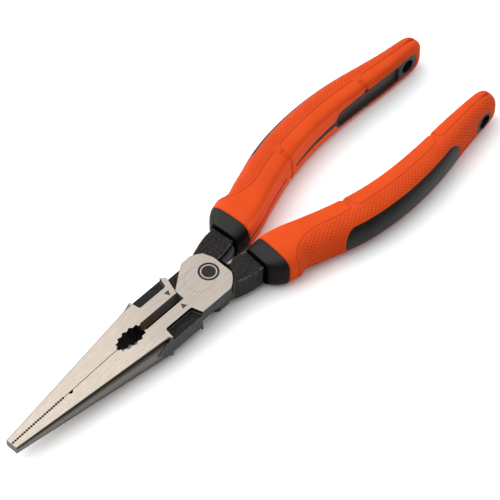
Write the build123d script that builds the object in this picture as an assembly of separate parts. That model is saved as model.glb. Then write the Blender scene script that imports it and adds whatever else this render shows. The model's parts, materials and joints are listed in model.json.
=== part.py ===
from build123d import *
import math
import os

# Needle nose pliers: two forged halves on a rivet, with two-shot moulded grips.
# Modelling frame: pivot at the origin, nose towards -X, handles towards +X, top face towards +Z.
# Half A has its jaw on the -Y side and its handle on the +Y side; half B is half A turned over about X.

# Overall
NOSE_REACH = 89.0  # pivot to the blunt tip
HANDLE_REACH = 130.2  # pivot to the ends of the grips
HEAD_HALF = 5.25  # half thickness of the head
FACE_GAP = 0.04  # each half stays this far from the mid plane
PARTING_GAP = 0.03  # each jaw face stays this far from the parting plane

# Nose and head outline
TIP_HALF_WIDTH = 2.3
TIP_HALF_THICK = 1.7
CONE_ROOT_X = -26.5  # where the ground nose meets the full thickness of the head
CONE_ROOT_HALF_WIDTH = 9.2
TIP_BULGE = 0.3  # the sides of the nose are barrelled by this much
ROOT_BULGE = 0.9
HEAD_HALF_WIDTH = 10.3
FLANK_TOP_X = -23.5  # the forged flank starts in a V on the side of the head
FLANK_APEX_X = -30.0
FLANK_FULL_X = -20.5  # the head reaches its full width here
REAR_CHAMFER = 2.3  # on the rear corner of the flank, below the plate

# Lap joint
PIVOT_RADIUS = 4.0
RUNNING_CLEARANCE = 0.05
RIVET_HEAD_RADIUS = 5.2
RIVET_HEAD_DEPTH = 1.2
NOSE_LUG_RADIUS = 9.3  # front of the plate, round the pivot
NOSE_LUG_CLEARANCE = 0.2
REAR_LUG_RADIUS = 11.35  # rear corner of the plate, round the pivot
NECK_SWEEP_RADIUS = 11.7
PLATE_FRONT_X = -10.6  # hidden inside the jaw that the plate grows from
PLATE_REAR_X = 9.9
PLATE_REAR_CORNERS = [(PLATE_REAR_X, 3.0), (8.6, 6.8), (5.0, 9.1)]
FACET_START = (0.3, 9.1)  # the stop facet of the plate
FACET_END = (-8.9, 2.7)
SHOULDER_INNER = (-9.1, 2.75)  # the shoulder of the jaw that meets the facet at full opening
SHOULDER_OUTER = (-6.6, 10.7)

# Pipe grip
PIPE_CENTRE_X = -33.0
PIPE_HALF_LENGTH = 6.7
PIPE_HALF_WIDTH = 3.5
PIPE_TOOTH_DEPTH = 0.8
PIPE_TEETH = 7

# Tip serration
SERRATION_START_X = -88.75
SERRATION_PITCH = 1.05
SERRATION_DEPTH = 0.5
SERRATION_TEETH = 23

# Half-moon wire notch, on half A only
WIRE_NOTCH_X = -61.6
WIRE_NOTCH_RADIUS = 0.9

# Cutter
CUTTER_FRONT_X = -27.2
CUTTER_HALF_WIDTH = 1.7
CUTTER_EDGE_HALF = 0.4  # half height of the flat at the cutting edge
CUTTER_EDGE_SETBACK = 0.1

# Side recesses beside the cutter
RECESS_FRONT_X = -22.6
RECESS_REAR_X = -10.2
RECESS_INNER_Y = 6.1
RECESS_FRONT_SPREAD = 0.8  # the end walls lean out by this much at the flank
RECESS_REAR_SPREAD = 1.6
RECESS_DEPTH = 1.9
RECESS_CORNER = 0.9
RECESS_FLOOR_FILLET = 0.45

# Etched pointers beside the cutter
POINTER_X = -11.6
POINTER_TIP_Y = 2.4
POINTER_BASE_Y = 4.5
POINTER_HALF_BASE = 1.1
POINTER_DEPTH = 0.15

# Neck, stop web and tang
NECK_HALF = 4.95
NECK_ROUND = 0.8
NECK_OUTLINE = [
    (3.0, 8.2), (6.2, 9.3), (10.8, 10.9), (14.6, 11.8), (21.0, 12.2),
    (21.0, 3.6), (17.0, 2.2), (13.6, 1.6), (8.0, 1.4), (3.0, 4.0),
]
WEB_OUTLINE = [(12.0, 2.2), (12.2, -0.8), (15.4, -0.4), (18.6, 1.4), (20.0, 4.0)]
WEB_TOP = 3.0
TANG_HALF = 3.6
TANG_OUTLINE = [
    (20.0, 11.5), (30.0, 14.5), (45.0, 19.0), (60.0, 23.3), (76.0, 24.8), (95.0, 23.8), (112.0, 21.0),
    (112.0, 17.6), (95.0, 18.0), (76.0, 18.2), (60.0, 16.4), (45.0, 12.0), (30.0, 7.0), (20.0, 4.2),
]

# Grip surface stations: distance behind the pivot, inner side, outer side, half thickness
GRIP_STATIONS = [
    (26.0, 1.6, 19.4, 7.3),
    (34.0, 3.6, 20.2, 7.5),
    (42.0, 6.4, 22.5, 7.5),
    (50.0, 9.1, 25.2, 7.5),
    (58.0, 11.4, 27.2, 7.5),
    (66.0, 13.1, 28.3, 7.5),
    (74.0, 14.2, 28.8, 7.5),
    (82.0, 14.7, 28.7, 7.5),
    (90.0, 14.8, 28.1, 7.5),
    (98.0, 14.6, 26.9, 7.5),
    (106.0, 14.2, 25.3, 7.5),
    (114.0, 14.0, 23.8, 7.4),
    (122.0, 14.0, 22.7, 7.4),
]
GRIP_END_STATIONS = [
    (127.0, 14.4, 22.3, 6.9),
    (129.4, 15.4, 21.2, 5.3),
    (HANDLE_REACH, 16.9, 19.7, 3.4),
]
INNER_POWER = 3.2  # how square each side of a grip section is; 2 is an ellipse
OUTER_POWER = 2.5
SECTION_POINTS = 24

# Collar of the hard core
COLLAR_STATIONS = [
    (19.4, 2.4, 12.4, 6.0),
    (21.5, 2.1, 15.6, 6.4),
    (24.0, 1.9, 18.0, 6.8),
    (26.0, 1.9, 18.7, 7.0),
]
COLLAR_POWER = 3.6

# Overmould
COVER_THICKNESS = 2.2
PANEL_FRONT_X = 47.0
PANEL_REAR_X = 106.0
PANEL_HALF = 5.8
PANEL_CORNER = 5.0
PANEL_FLOOR_Y = 20.0
WINDOW_FRONT_X = 84.5
WINDOW_REAR_X = 126.2
WINDOW_HALF = 4.3
WINDOW_CORNER = 3.6
WINDOW_FLOOR_Y = 19.0
POCKET_REAR_X = 116.5
POCKET_RIM = 0.8
SLIT_HALF = 0.5
TETHER_X = 121.2
TETHER_RADIUS = 2.8
TETHER_LINING = 3.9

OVERCUT = 1.0  # how far a cutting tool runs past the face that it starts from
BIG = 60.0  # longer than any feature that it cuts


def slab(outline, z_low, z_high):
    """A plan outline extruded between two heights."""
    face = make_face(Polyline(*outline, close=True))
    return Pos(0, 0, z_low) * extrude(face, z_high - z_low)


def side_slab(outline, y_low, y_high):
    """An X-Z outline extruded along Y."""
    plane = Plane(origin=(0, y_low, 0), x_dir=(1, 0, 0), z_dir=(0, -1, 0))
    face = plane * make_face(Polyline(*outline, close=True))
    return extrude(face, y_high - y_low, dir=(0, 1, 0))


def upright(x, y, radius, z_low, z_high):
    """A vertical cylinder."""
    return Pos(x, y, (z_low + z_high) / 2) * Cylinder(radius, z_high - z_low)


def nose():
    """The ground nose of half A: a D section that tapers to the blunt tip."""
    sections = []
    for x, width, half, bulge in (
        (-NOSE_REACH, TIP_HALF_WIDTH, TIP_HALF_THICK, TIP_BULGE),
        (CONE_ROOT_X, CONE_ROOT_HALF_WIDTH, HEAD_HALF, ROOT_BULGE),
    ):
        outline = Polyline((-width, half), (-PARTING_GAP, half), (-PARTING_GAP, -half), (-width, -half))
        outline += ThreePointArc((-width, -half), (-width - bulge, 0), (-width, half))
        plane = Plane(origin=(x, 0, 0), x_dir=(0, 1, 0), z_dir=(1, 0, 0))
        sections.append(plane * make_face(outline))
    return loft(sections, ruled=True)


def head_block():
    """The head of half A between the ground nose and the joint, with its V-fronted flank."""
    rear_x = SHOULDER_OUTER[0]
    flank_y = -HEAD_HALF_WIDTH
    middle = slab(
        [
            (CONE_ROOT_X, -PARTING_GAP), (rear_x, -PARTING_GAP), (rear_x, flank_y),
            (FLANK_FULL_X, flank_y), (CONE_ROOT_X, -CONE_ROOT_HALF_WIDTH),
        ],
        -HEAD_HALF, HEAD_HALF,
    )
    flank = side_slab(
        [
            (FLANK_TOP_X, HEAD_HALF), (FLANK_APEX_X, 0), (FLANK_TOP_X, -HEAD_HALF),
            (rear_x, -HEAD_HALF), (rear_x, HEAD_HALF),
        ],
        flank_y, -PARTING_GAP,
    )
    return middle + flank


def joint_clearance():
    """What the lower half of jaw A gives up to plate B: everything behind the shoulder and its lug."""
    inner_x, inner_y = SHOULDER_INNER
    outer_x, outer_y = SHOULDER_OUTER
    behind = slab(
        [(inner_x, BIG), (inner_x, -inner_y), (outer_x, -outer_y), (BIG, -outer_y), (BIG, BIG)],
        -BIG, FACE_GAP,
    )
    chamfer_x = outer_x - REAR_CHAMFER
    chamfer_y = REAR_CHAMFER - HEAD_HALF_WIDTH
    chamfer = slab(
        [
            (chamfer_x, -HEAD_HALF_WIDTH), (outer_x, chamfer_y), (outer_x + OVERCUT, chamfer_y),
            (outer_x + OVERCUT, -HEAD_HALF_WIDTH - OVERCUT), (chamfer_x, -HEAD_HALF_WIDTH - OVERCUT),
        ],
        -BIG, FACE_GAP,
    )
    lug = upright(0, 0, NOSE_LUG_RADIUS + NOSE_LUG_CLEARANCE, -BIG, FACE_GAP)
    return behind + chamfer + lug


def on_circle(radius, x=None, y=None, sign=1):
    """The point of a pivot-centred circle with the given x or y."""
    if x is None:
        return (sign * math.sqrt(radius**2 - y**2), y)
    return (x, sign * math.sqrt(radius**2 - x**2))


def plate():
    """The polished plate of half A, with round lugs about the pivot and the stop facet."""
    flank_y = -HEAD_HALF_WIDTH
    rear_corner = on_circle(REAR_LUG_RADIUS, y=flank_y)
    rear_side = on_circle(REAR_LUG_RADIUS, x=PLATE_REAR_X, sign=-1)
    rear_mid = REAR_LUG_RADIUS * math.sqrt(0.5)
    lug_front = on_circle(NOSE_LUG_RADIUS, y=-PARTING_GAP, sign=-1)
    lug_mid = on_circle(NOSE_LUG_RADIUS, y=FACET_END[1] / 2, sign=-1)
    lug_end = on_circle(NOSE_LUG_RADIUS, y=FACET_END[1], sign=-1)
    outline = Polyline((PLATE_FRONT_X, -PARTING_GAP), (PLATE_FRONT_X, flank_y), rear_corner)
    outline += ThreePointArc(rear_corner, (rear_mid, -rear_mid), rear_side)
    outline += Polyline(rear_side, *PLATE_REAR_CORNERS, FACET_START, lug_end)
    outline += ThreePointArc(lug_end, lug_mid, lug_front)
    outline += Line(lug_front, (PLATE_FRONT_X, -PARTING_GAP))
    return Pos(0, 0, FACE_GAP) * extrude(make_face(outline), HEAD_HALF - FACE_GAP)


def neck():
    """The forged neck of half A, its stop web and the tang that the grip is moulded on."""
    arm = slab(NECK_OUTLINE, -NECK_HALF, NECK_HALF)
    long_edges = [edge for edge in arm.edges() if abs(edge.center().Z) > NECK_HALF / 2]
    arm = fillet(long_edges, NECK_ROUND)
    arm -= upright(0, 0, NECK_SWEEP_RADIUS, -BIG, FACE_GAP)
    web = slab(WEB_OUTLINE, FACE_GAP, WEB_TOP)
    tang = slab(TANG_OUTLINE, -TANG_HALF, TANG_HALF)
    return arm + web + tang


def pipe_grip():
    """The toothed oval, cut right through between the jaws."""
    points = []
    for side in (1, -1):
        for step in range(2 * PIPE_TEETH):
            angle = math.pi * (step + 0.5) / (2 * PIPE_TEETH)
            inset = PIPE_TOOTH_DEPTH * (step % 2)
            along = (PIPE_HALF_LENGTH - inset) * math.cos(angle) * side
            across = (PIPE_HALF_WIDTH - inset) * math.sin(angle) * side
            points.append((PIPE_CENTRE_X + along, across))
    return slab(points, -BIG, BIG)


def tip_serration():
    """V grooves across the gripping face at the tip."""
    points = [(SERRATION_START_X, 0)]
    for tooth in range(SERRATION_TEETH):
        x = SERRATION_START_X + tooth * SERRATION_PITCH
        points.append((x + SERRATION_PITCH / 2, -PARTING_GAP - SERRATION_DEPTH))
        points.append((x + SERRATION_PITCH, -PARTING_GAP))
    points.append((points[-1][0], 0))
    return slab(points, -BIG, BIG)


def cutter_bevels():
    """The bevels that run down from both faces to the cutting edge."""
    length = -NOSE_LUG_RADIUS - CUTTER_FRONT_X
    bevels = []
    for side in (1, -1):
        plane = Plane(origin=(CUTTER_FRONT_X, 0, 0), x_dir=(0, 1, 0), z_dir=(1, 0, 0))
        profile = Polyline(
            (0, side * BIG), (-CUTTER_HALF_WIDTH, side * BIG), (-CUTTER_HALF_WIDTH, side * HEAD_HALF),
            (-CUTTER_EDGE_SETBACK, side * CUTTER_EDGE_HALF), (0, side * CUTTER_EDGE_HALF), close=True,
        )
        bevels.append(extrude(plane * make_face(profile), length))
    return bevels[0] + bevels[1]


def side_recesses():
    """Shallow recesses beside the cutter, on both faces."""
    outer_y = -HEAD_HALF_WIDTH - OVERCUT
    floor_z = HEAD_HALF - RECESS_DEPTH
    recess = slab(
        [
            (RECESS_FRONT_X, -RECESS_INNER_Y), (RECESS_REAR_X, -RECESS_INNER_Y),
            (RECESS_REAR_X + RECESS_REAR_SPREAD, outer_y), (RECESS_FRONT_X - RECESS_FRONT_SPREAD, outer_y),
        ],
        floor_z, HEAD_HALF + OVERCUT,
    )
    recess = fillet(recess.edges().filter_by(Axis.Z).sort_by(Axis.Y)[-2:], RECESS_CORNER)
    floor_edges = recess.edges().group_by(Axis.Z)[0].sort_by(Axis.Y)[1:]
    upper = fillet(floor_edges, RECESS_FLOOR_FILLET)
    return upper + upper.mirror(Plane.XY)


def pointers():
    """Small etched triangles that point at the cutter, on both faces."""
    outline = [
        (POINTER_X, -POINTER_TIP_Y),
        (POINTER_X - POINTER_HALF_BASE, -POINTER_BASE_Y),
        (POINTER_X + POINTER_HALF_BASE, -POINTER_BASE_Y),
    ]
    upper = slab(outline, HEAD_HALF - POINTER_DEPTH, BIG)
    return upper + upper.mirror(Plane.XY)


def forged_half(pivot_radius, with_wire_notch):
    """One forged half, drawn as half A."""
    jaw = nose() + head_block()
    jaw -= joint_clearance()
    half = jaw + plate() + neck()
    half -= pipe_grip()
    half -= tip_serration()
    half -= cutter_bevels()
    half -= side_recesses()
    half -= pointers()
    half -= upright(0, 0, pivot_radius, -BIG, BIG)
    half -= upright(0, 0, RIVET_HEAD_RADIUS + RUNNING_CLEARANCE, HEAD_HALF - RIVET_HEAD_DEPTH, BIG)
    if with_wire_notch:
        half -= upright(WIRE_NOTCH_X, 0, WIRE_NOTCH_RADIUS, -BIG, BIG)
    return half


def rivet():
    """The joint rivet, fast in half A: a shank with a flush head at each face."""
    shank = upright(0, 0, PIVOT_RADIUS, -HEAD_HALF, HEAD_HALF)
    upper = upright(0, 0, RIVET_HEAD_RADIUS, HEAD_HALF - RIVET_HEAD_DEPTH + RUNNING_CLEARANCE, HEAD_HALF)
    return shank + upper + upper.mirror(Plane.XY)


def grip_section(x, inner, outer, half, inner_power=INNER_POWER, outer_power=OUTER_POWER):
    """A rounded section of the grip, square to the tool axis."""
    centre = (inner + outer) / 2
    reach = (outer - inner) / 2
    points = []
    for step in range(SECTION_POINTS):
        angle = 2 * math.pi * step / SECTION_POINTS
        power = outer_power if math.cos(angle) > 0 else inner_power
        across = math.copysign(abs(math.cos(angle)) ** (2 / power), math.cos(angle))
        up = math.copysign(abs(math.sin(angle)) ** (2 / power), math.sin(angle))
        points.append((reach * across, half * up))
    plane = Plane(origin=(x, centre, 0), x_dir=(0, 1, 0), z_dir=(1, 0, 0))
    return plane * make_face(Spline(*points, periodic=True))


def grip_form():
    """The grip's outer form, with its rounded end."""
    body = loft([grip_section(*station) for station in GRIP_STATIONS])
    end = loft([grip_section(*station) for station in GRIP_STATIONS[-1:] + GRIP_END_STATIONS], ruled=True)
    return body + end


def core_form():
    """The hard core under the soft cover: the same form set in by the cover's thickness."""
    sections = []
    for x, inner, outer, half in GRIP_STATIONS:
        sections.append(
            grip_section(x, inner + COVER_THICKNESS, outer - COVER_THICKNESS, half - COVER_THICKNESS)
        )
    return loft(sections)


def collar():
    """The front collar of the hard core."""
    return loft([grip_section(*station, COLLAR_POWER, COLLAR_POWER) for station in COLLAR_STATIONS])


def rounded_side_prism(front_x, rear_x, half, corner, y_low, y_high):
    """A round-cornered X-Z rectangle extruded along Y."""
    block = Box(rear_x - front_x, y_high - y_low, 2 * half)
    block = fillet(block.edges().filter_by(Axis.Y), corner)
    return Pos((front_x + rear_x) / 2, (y_low + y_high) / 2, 0) * block


def tether(radius):
    """A cylinder across the end of the grip."""
    return Pos(TETHER_X, 0, 0) * Rot(90, 0, 0) * Cylinder(radius, 2 * BIG)


def grip_pieces(half):
    """The hard core and the soft cover on one tang."""
    form = grip_form()
    panel = rounded_side_prism(PANEL_FRONT_X, PANEL_REAR_X, PANEL_HALF, PANEL_CORNER, PANEL_FLOOR_Y, BIG)
    window = rounded_side_prism(WINDOW_FRONT_X, WINDOW_REAR_X, WINDOW_HALF, WINDOW_CORNER, 0, WINDOW_FLOOR_Y)
    pocket = rounded_side_prism(
        WINDOW_FRONT_X + POCKET_RIM, POCKET_REAR_X, WINDOW_HALF - POCKET_RIM,
        WINDOW_CORNER - POCKET_RIM, 0, WINDOW_FLOOR_Y,
    )
    slit = Pos(WINDOW_FRONT_X / 2, WINDOW_FLOOR_Y / 2, 0) * Box(WINDOW_FRONT_X, WINDOW_FLOOR_Y, 2 * SLIT_HALF)
    core = core_form() + collar()
    core += (form & panel) + ((form & window) - pocket) + (form & tether(TETHER_LINING))
    cover = form - core - pocket - slit
    core -= half
    core -= tether(TETHER_RADIUS)
    return core, cover


def turned_over(shape):
    """Half A's frame to half B's frame."""
    return shape.rotate(Axis.X, 180)


def main():
    os.makedirs("parts", exist_ok=True)
    half_a = forged_half(PIVOT_RADIUS, True)
    half_b = forged_half(PIVOT_RADIUS + RUNNING_CLEARANCE, False)
    core, cover = grip_pieces(half_b)
    nodes = {
        "jaw_half_a": half_a,
        "jaw_half_b": turned_over(half_b),
        "pivot_rivet": rivet(),
        "grip_core_a": core,
        "grip_core_b": turned_over(core),
        "grip_cover_a": cover,
        "grip_cover_b": turned_over(cover),
    }
    # Row frame: middle of the length, tool axis, resting surface of the grips
    to_row = Pos((NOSE_REACH - HANDLE_REACH) / 2, 0, cover.bounding_box().max.Z)
    for name, shape in nodes.items():
        export_step(to_row * shape, f"parts/{name}.step")


if __name__ == "__main__":
    main()
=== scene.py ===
"""Needle nose pliers: the looks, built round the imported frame. Metres, in the frame's own axes."""
import json
import math

import bpy
import numpy as np
from mathutils import Matrix, Vector


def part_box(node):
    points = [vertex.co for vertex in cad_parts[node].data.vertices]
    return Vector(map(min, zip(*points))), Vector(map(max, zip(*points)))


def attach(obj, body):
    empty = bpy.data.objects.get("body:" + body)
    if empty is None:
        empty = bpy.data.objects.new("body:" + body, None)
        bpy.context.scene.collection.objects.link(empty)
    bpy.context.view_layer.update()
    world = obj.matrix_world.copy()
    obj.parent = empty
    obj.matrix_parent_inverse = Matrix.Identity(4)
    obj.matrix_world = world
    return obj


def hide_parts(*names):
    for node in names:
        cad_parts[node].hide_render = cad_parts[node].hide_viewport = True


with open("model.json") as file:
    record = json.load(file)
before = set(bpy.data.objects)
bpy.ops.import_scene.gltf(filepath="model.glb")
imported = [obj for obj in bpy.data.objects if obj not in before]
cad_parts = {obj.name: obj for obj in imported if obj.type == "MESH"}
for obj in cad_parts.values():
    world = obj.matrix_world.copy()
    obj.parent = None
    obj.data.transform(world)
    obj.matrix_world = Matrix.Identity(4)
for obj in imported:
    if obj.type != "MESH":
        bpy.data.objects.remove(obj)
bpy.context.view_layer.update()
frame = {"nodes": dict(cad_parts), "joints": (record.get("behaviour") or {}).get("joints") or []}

MM = 0.001
PIVOT = Vector(frame["joints"][0]["pos_m"])
HEAD_HALF = (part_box("pivot_rivet")[1].z - PIVOT.z) / MM
GRIP_END = (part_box("grip_cover_a")[1].x - PIVOT.x) / MM


# ---------------------------------------------------------------- grip form, in mm from the pivot

# Distance behind the pivot, inner side, outer side, half thickness
GRIP_STATIONS = [
    (26.0, 1.6, 19.4, 7.3), (34.0, 3.6, 20.2, 7.49), (42.0, 6.4, 22.5, 7.49), (50.0, 9.1, 25.2, 7.49),
    (58.0, 11.4, 27.2, 7.49), (66.0, 13.1, 28.3, 7.49), (74.0, 14.2, 28.8, 7.49), (82.0, 14.7, 28.7, 7.49),
    (90.0, 14.8, 28.1, 7.49), (98.0, 14.6, 26.9, 7.49), (106.0, 14.2, 25.3, 7.49), (114.0, 14.0, 23.8, 7.4),
    (122.0, 14.0, 22.7, 7.3), (131.0, 14.2, 21.9, 7.0),
]
COLLAR_STATIONS = [
    (19.4, 2.5, 12.4, 5.7), (20.2, 2.2, 13.8, 6.2), (22.0, 2.0, 16.2, 6.5), (24.0, 1.9, 17.8, 6.8),
    (25.3, 1.9, 18.5, 7.0), (27.0, 1.9, 18.9, 7.0),
]
INNER_POWER = 4.2  # how square each side of a section is; 2 is an ellipse
OUTER_POWER = 2.5
COLLAR_POWER = 3.8
THUMB_STOP = (30.0, 0.75, 1.9)  # place, height and width of the swell behind the collar
THUMB_DIP = (34.4, 0.5, 2.6)  # and of the dip behind the swell
FRONT_LEAN = 0.075  # the front of the grip leans with the handle
LEAN_FADE = (27.0, 42.0)  # the lean dies away between these places

# Rings of points
RING = 250
EVEN_REACH = 7.0  # half width and half thickness of the section that spaces the points evenly
EVEN_HALF = 7.5
EVEN_SAMPLES = 8001
COLLAR_START = 19.6
COLLAR_END = 25.8
COLLAR_STEP = 0.2
COVER_START = 25.9
COVER_STEP = 0.27
CORE_START = 27.0
CORE_STEP = 0.3
CAP_START = 123.0  # the sections close in from here to the rounded end
CAP_POWER = 3.0
CAP_ROWS = 34
CAP_OPENING = 0.002  # the last ring stops this short of the end
SHORTEST_NORMAL = 1e-9

# The collar's front face: how far out each ring lies, and how far behind the face
COLLAR_FACE = [(0.45, 0.0), (0.86, 0.0), (0.93, 0.05), (0.975, 0.2)]
COLLAR_FACE_LEAD = 0.45  # the face is this far ahead of the collar's first full ring
LIP_SHADE_RINGS = (5.0, 9.0)  # the painted shade on the collar's front lip fades out between these rings

# Black inlays in the side view: front, rear, half height, corner radius
PANEL = (47.5, 105.4, 5.9, 5.1)
WINDOW = (84.5, 126.0, 4.3, 3.6)
FRONT_SEAM = (20.0, 54.6, 0.6, 0.4)
POCKET_FRONT = (85.5, 130.0, 3.4, 2.6)  # the window's sunk pocket is where these two overlap
POCKET_REAR = (70.0, 116.5, 3.4, 0.7)
REAR_SEAM_START = 61.0  # the rear seam runs from here to the end of the window
REAR_SEAM_HALF = 0.8
REAR_SEAM_GAIN = 0.45  # it widens by this much
REAR_SEAM_WIDENING = (62.0, 84.0)
TETHER_X = 121.2
TETHER_Y = 18.4
TETHER_BORE = 2.8
TETHER_LINING = 3.7
TETHER_STRETCH = 0.75  # the lining runs to a drop shape towards the nose
COVER_HOLE_MARGIN = 0.1  # the hole in the cover is this much smaller than the lining
DRILL_SIDES = 72
DRILL_LENGTH = 30.0
ELSEWHERE = 99.0  # a distance that stands for no inlay here

# How far the surfaces step down, and the soft edges of each step as distances from the shape
INLAY_DROP = 0.12
COVER_SINK = 0.9
COVER_EDGE = (-0.28, 0.02)
CORE_SINK = 1.5
CORE_EDGE = (0.12, 0.5)
POCKET_DEPTH = 1.5
POCKET_EDGE = (-0.3, 0.05)
FRONT_LIP_END = 26.7
FRONT_LIP_DROP = 0.5

# The zone line: how far out from the middle of the top it runs, along the grip
ZONE_LINE = [
    (29.0, 14.5), (29.2, 9.5), (29.8, 7.7), (31.0, 5.8), (32.8, 4.1), (35.5, 2.4), (39.0, 0.8), (43.0, -0.2),
    (50.0, -0.5), (128.0, -0.2),
]
ZONE_SAMPLES = 60
PAD_SPLITS = [(57.2, 58.8), (99.4, 100.9)]  # the gaps between the smooth pads
PAD_CORNER = 2.0
CORNER_SAMPLES = 7
SPLIT_DEPTH = 0.45
SPLIT_REACH = -14.0  # the grooves between pads end at the middle of the inner face
SPLIT_EDGE = 0.2
SPLIT_TOP = (PAD_CORNER - 0.4, PAD_CORNER + 0.6)  # a gap opens this far inwards from the zone line
SPLIT_SHADE = 0.15  # the gaps get this share of a groove's painted shade
GROOVE_WIDTH = 0.24
GROOVE_DEPTH = 0.2
GROOVE_BREAK = (0.55, 2.2)  # how much, and over what width, the grooves fade at a split
END_NOTCH = (122.5, 128.5)  # the groove runs out into a notch between these places
NOTCH_WIDENING = 1.2
NOTCH_DEEPENING = 3.2
GRAIN_DROP = 0.12
GRAIN_EDGE = (0.45, 1.1)  # the grain starts this far outwards from the zone line
GRAIN_FRONT = (29.2, 30.0)
GRAIN_MARGIN = (0.1, 0.6)  # the grain fades in over this distance from an inlay
INSIDE_REACH = (4.5, 7.0)  # the painted sheen on the inner face: how far inwards, and how high
INSIDE_HEIGHT = (5.6, 6.8)


def smooth_curve(knots):
    """A smooth curve through (place, value) knots, as a function of places."""
    places, values = (np.array(column, float) for column in zip(*knots))
    slopes = np.gradient(values, places)

    def at(x):
        x = np.clip(x, places[0], places[-1])
        low = np.clip(np.searchsorted(places, x, side="right") - 1, 0, len(places) - 2)
        span = places[low + 1] - places[low]
        t = (x - places[low]) / span
        return (
            values[low] * (1 + 2 * t) * (1 - t) ** 2
            + slopes[low] * span * t * (1 - t) ** 2
            + values[low + 1] * t * t * (3 - 2 * t)
            + slopes[low + 1] * span * t * t * (t - 1)
        )

    return at


def smooth_step(value, low, high):
    t = np.clip((value - low) / (high - low), 0, 1)
    return t * t * (3 - 2 * t)


def bell(value, middle, height, width):
    return height * np.exp(-(((value - middle) / width) ** 2))


def signed_power(value, exponent):
    return np.sign(value) * np.abs(value) ** exponent


def rounded_gap(x, z, shape):
    """Signed distance to a round-cornered rectangle in the side view: negative inside it."""
    front, rear, half, corner = shape
    along = np.abs(x - (front + rear) / 2) - (rear - front) / 2 + corner
    up = np.abs(z) - half + corner
    outside = np.hypot(np.maximum(along, 0), np.maximum(up, 0))
    return outside + np.minimum(np.maximum(along, up), 0) - corner


def path_gap(x, w, path):
    """Distance to a path of points, on the unrolled grip."""
    gap = np.full(x.shape, np.inf)
    for (x0, w0), (x1, w1) in zip(path, path[1:]):
        length = (x1 - x0) ** 2 + (w1 - w0) ** 2
        t = np.clip(((x - x0) * (x1 - x0) + (w - w0) * (w1 - w0)) / length, 0, 1)
        gap = np.minimum(gap, np.hypot(x - x0 - t * (x1 - x0), w - w0 - t * (w1 - w0)))
    return gap


class Skin:
    """A tube of rings round a handle: its points, and where each one lies on the unrolled grip.

    x runs along the handle, y across it and z up. v is the part of y from the section's middle, and w runs
    outwards from the middle of the top or underside.
    """

    def __init__(self, x_rows, stations, inner_power, outer_power):
        inner, outer, half = (smooth_curve([(s[0], s[k]) for s in stations]) for k in (1, 2, 3))
        angles = self.even_angles(inner_power, outer_power)
        x = np.array(x_rows)[:, None] + np.zeros(RING)
        bump = bell(x, *THUMB_STOP) - bell(x, *THUMB_DIP)
        reach = (outer(x) - inner(x)) / 2 + np.where(np.cos(angles) > 0, bump, 0)
        across, up = self.section(angles, inner_power, outer_power)
        scale = self.cap_scale(x)
        self.x = x
        self.v = reach * across * scale
        self.y = (inner(x) + outer(x)) / 2 + self.v
        self.z = half(x) * up * scale
        self.outer_side = np.cos(angles)[None, :] + np.zeros_like(x) > 0
        self.w = self.unrolled()

    @staticmethod
    def section(angles, inner_power, outer_power):
        """Points across and up on a section of unit size, squarer on one side than on the other."""
        power = np.where(np.cos(angles) > 0, outer_power, inner_power)
        return signed_power(np.cos(angles), 2 / power), signed_power(np.sin(angles), 2 / power)

    @staticmethod
    def even_angles(inner_power, outer_power):
        """Section angles that space the points evenly round a middling section."""
        dense = np.linspace(0, 2 * math.pi, EVEN_SAMPLES)
        across, up = Skin.section(dense, inner_power, outer_power)
        steps = np.hypot(np.diff(EVEN_REACH * across), np.diff(EVEN_HALF * up))
        run = np.concatenate([[0], np.cumsum(steps)])
        return np.interp(np.arange(RING) / RING * run[-1], run, dense)

    @staticmethod
    def cap_scale(x):
        """How far the sections have closed in towards the rounded end."""
        t = np.clip((x - CAP_START) / (GRIP_END - CAP_START), 0, 1)
        return (1 - t ** CAP_POWER) ** (1 / CAP_POWER)

    def unrolled(self):
        """Distance from the middle of the top or underside, outwards, along each section."""
        across = np.diff(self.v, axis=1, append=self.v[:, :1])
        up = np.diff(self.z, axis=1, append=self.z[:, :1])
        step = np.hypot(across, up)
        run = np.concatenate([np.zeros((len(step), 1)), np.cumsum(step, axis=1)[:, :-1]], axis=1)
        total = step.sum(axis=1, keepdims=True)
        top = np.argmin(np.where(self.z > 0, np.abs(self.v), np.inf), axis=1)
        under = np.argmin(np.where(self.z < 0, np.abs(self.v), np.inf), axis=1)
        rows = np.arange(len(run))
        from_top = run[rows, top][:, None] - run
        from_under = run - run[rows, under][:, None]
        upper = np.where(from_top > total / 2, from_top - total, from_top)
        lower = np.where(from_under > total / 2, from_under - total, from_under)
        return np.where(self.z >= 0, upper, lower)

    def push(self, depth):
        """The points moved along the skin's normals, leaning with the handle at the front."""
        points = np.stack([self.x, self.y, self.z], axis=-1)
        along = np.gradient(points, axis=0)
        around = np.roll(points, -1, axis=1) - np.roll(points, 1, axis=1)
        normal = np.cross(along, around)
        normal /= np.maximum(np.linalg.norm(normal, axis=-1, keepdims=True), SHORTEST_NORMAL)
        outward = np.sign((normal[..., 1] * self.v + normal[..., 2] * self.z).sum())
        moved = points + outward * normal * depth[..., None]
        moved[..., 0] -= FRONT_LEAN * self.v * (1 - smooth_step(self.x, *LEAN_FADE))
        return moved


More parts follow.
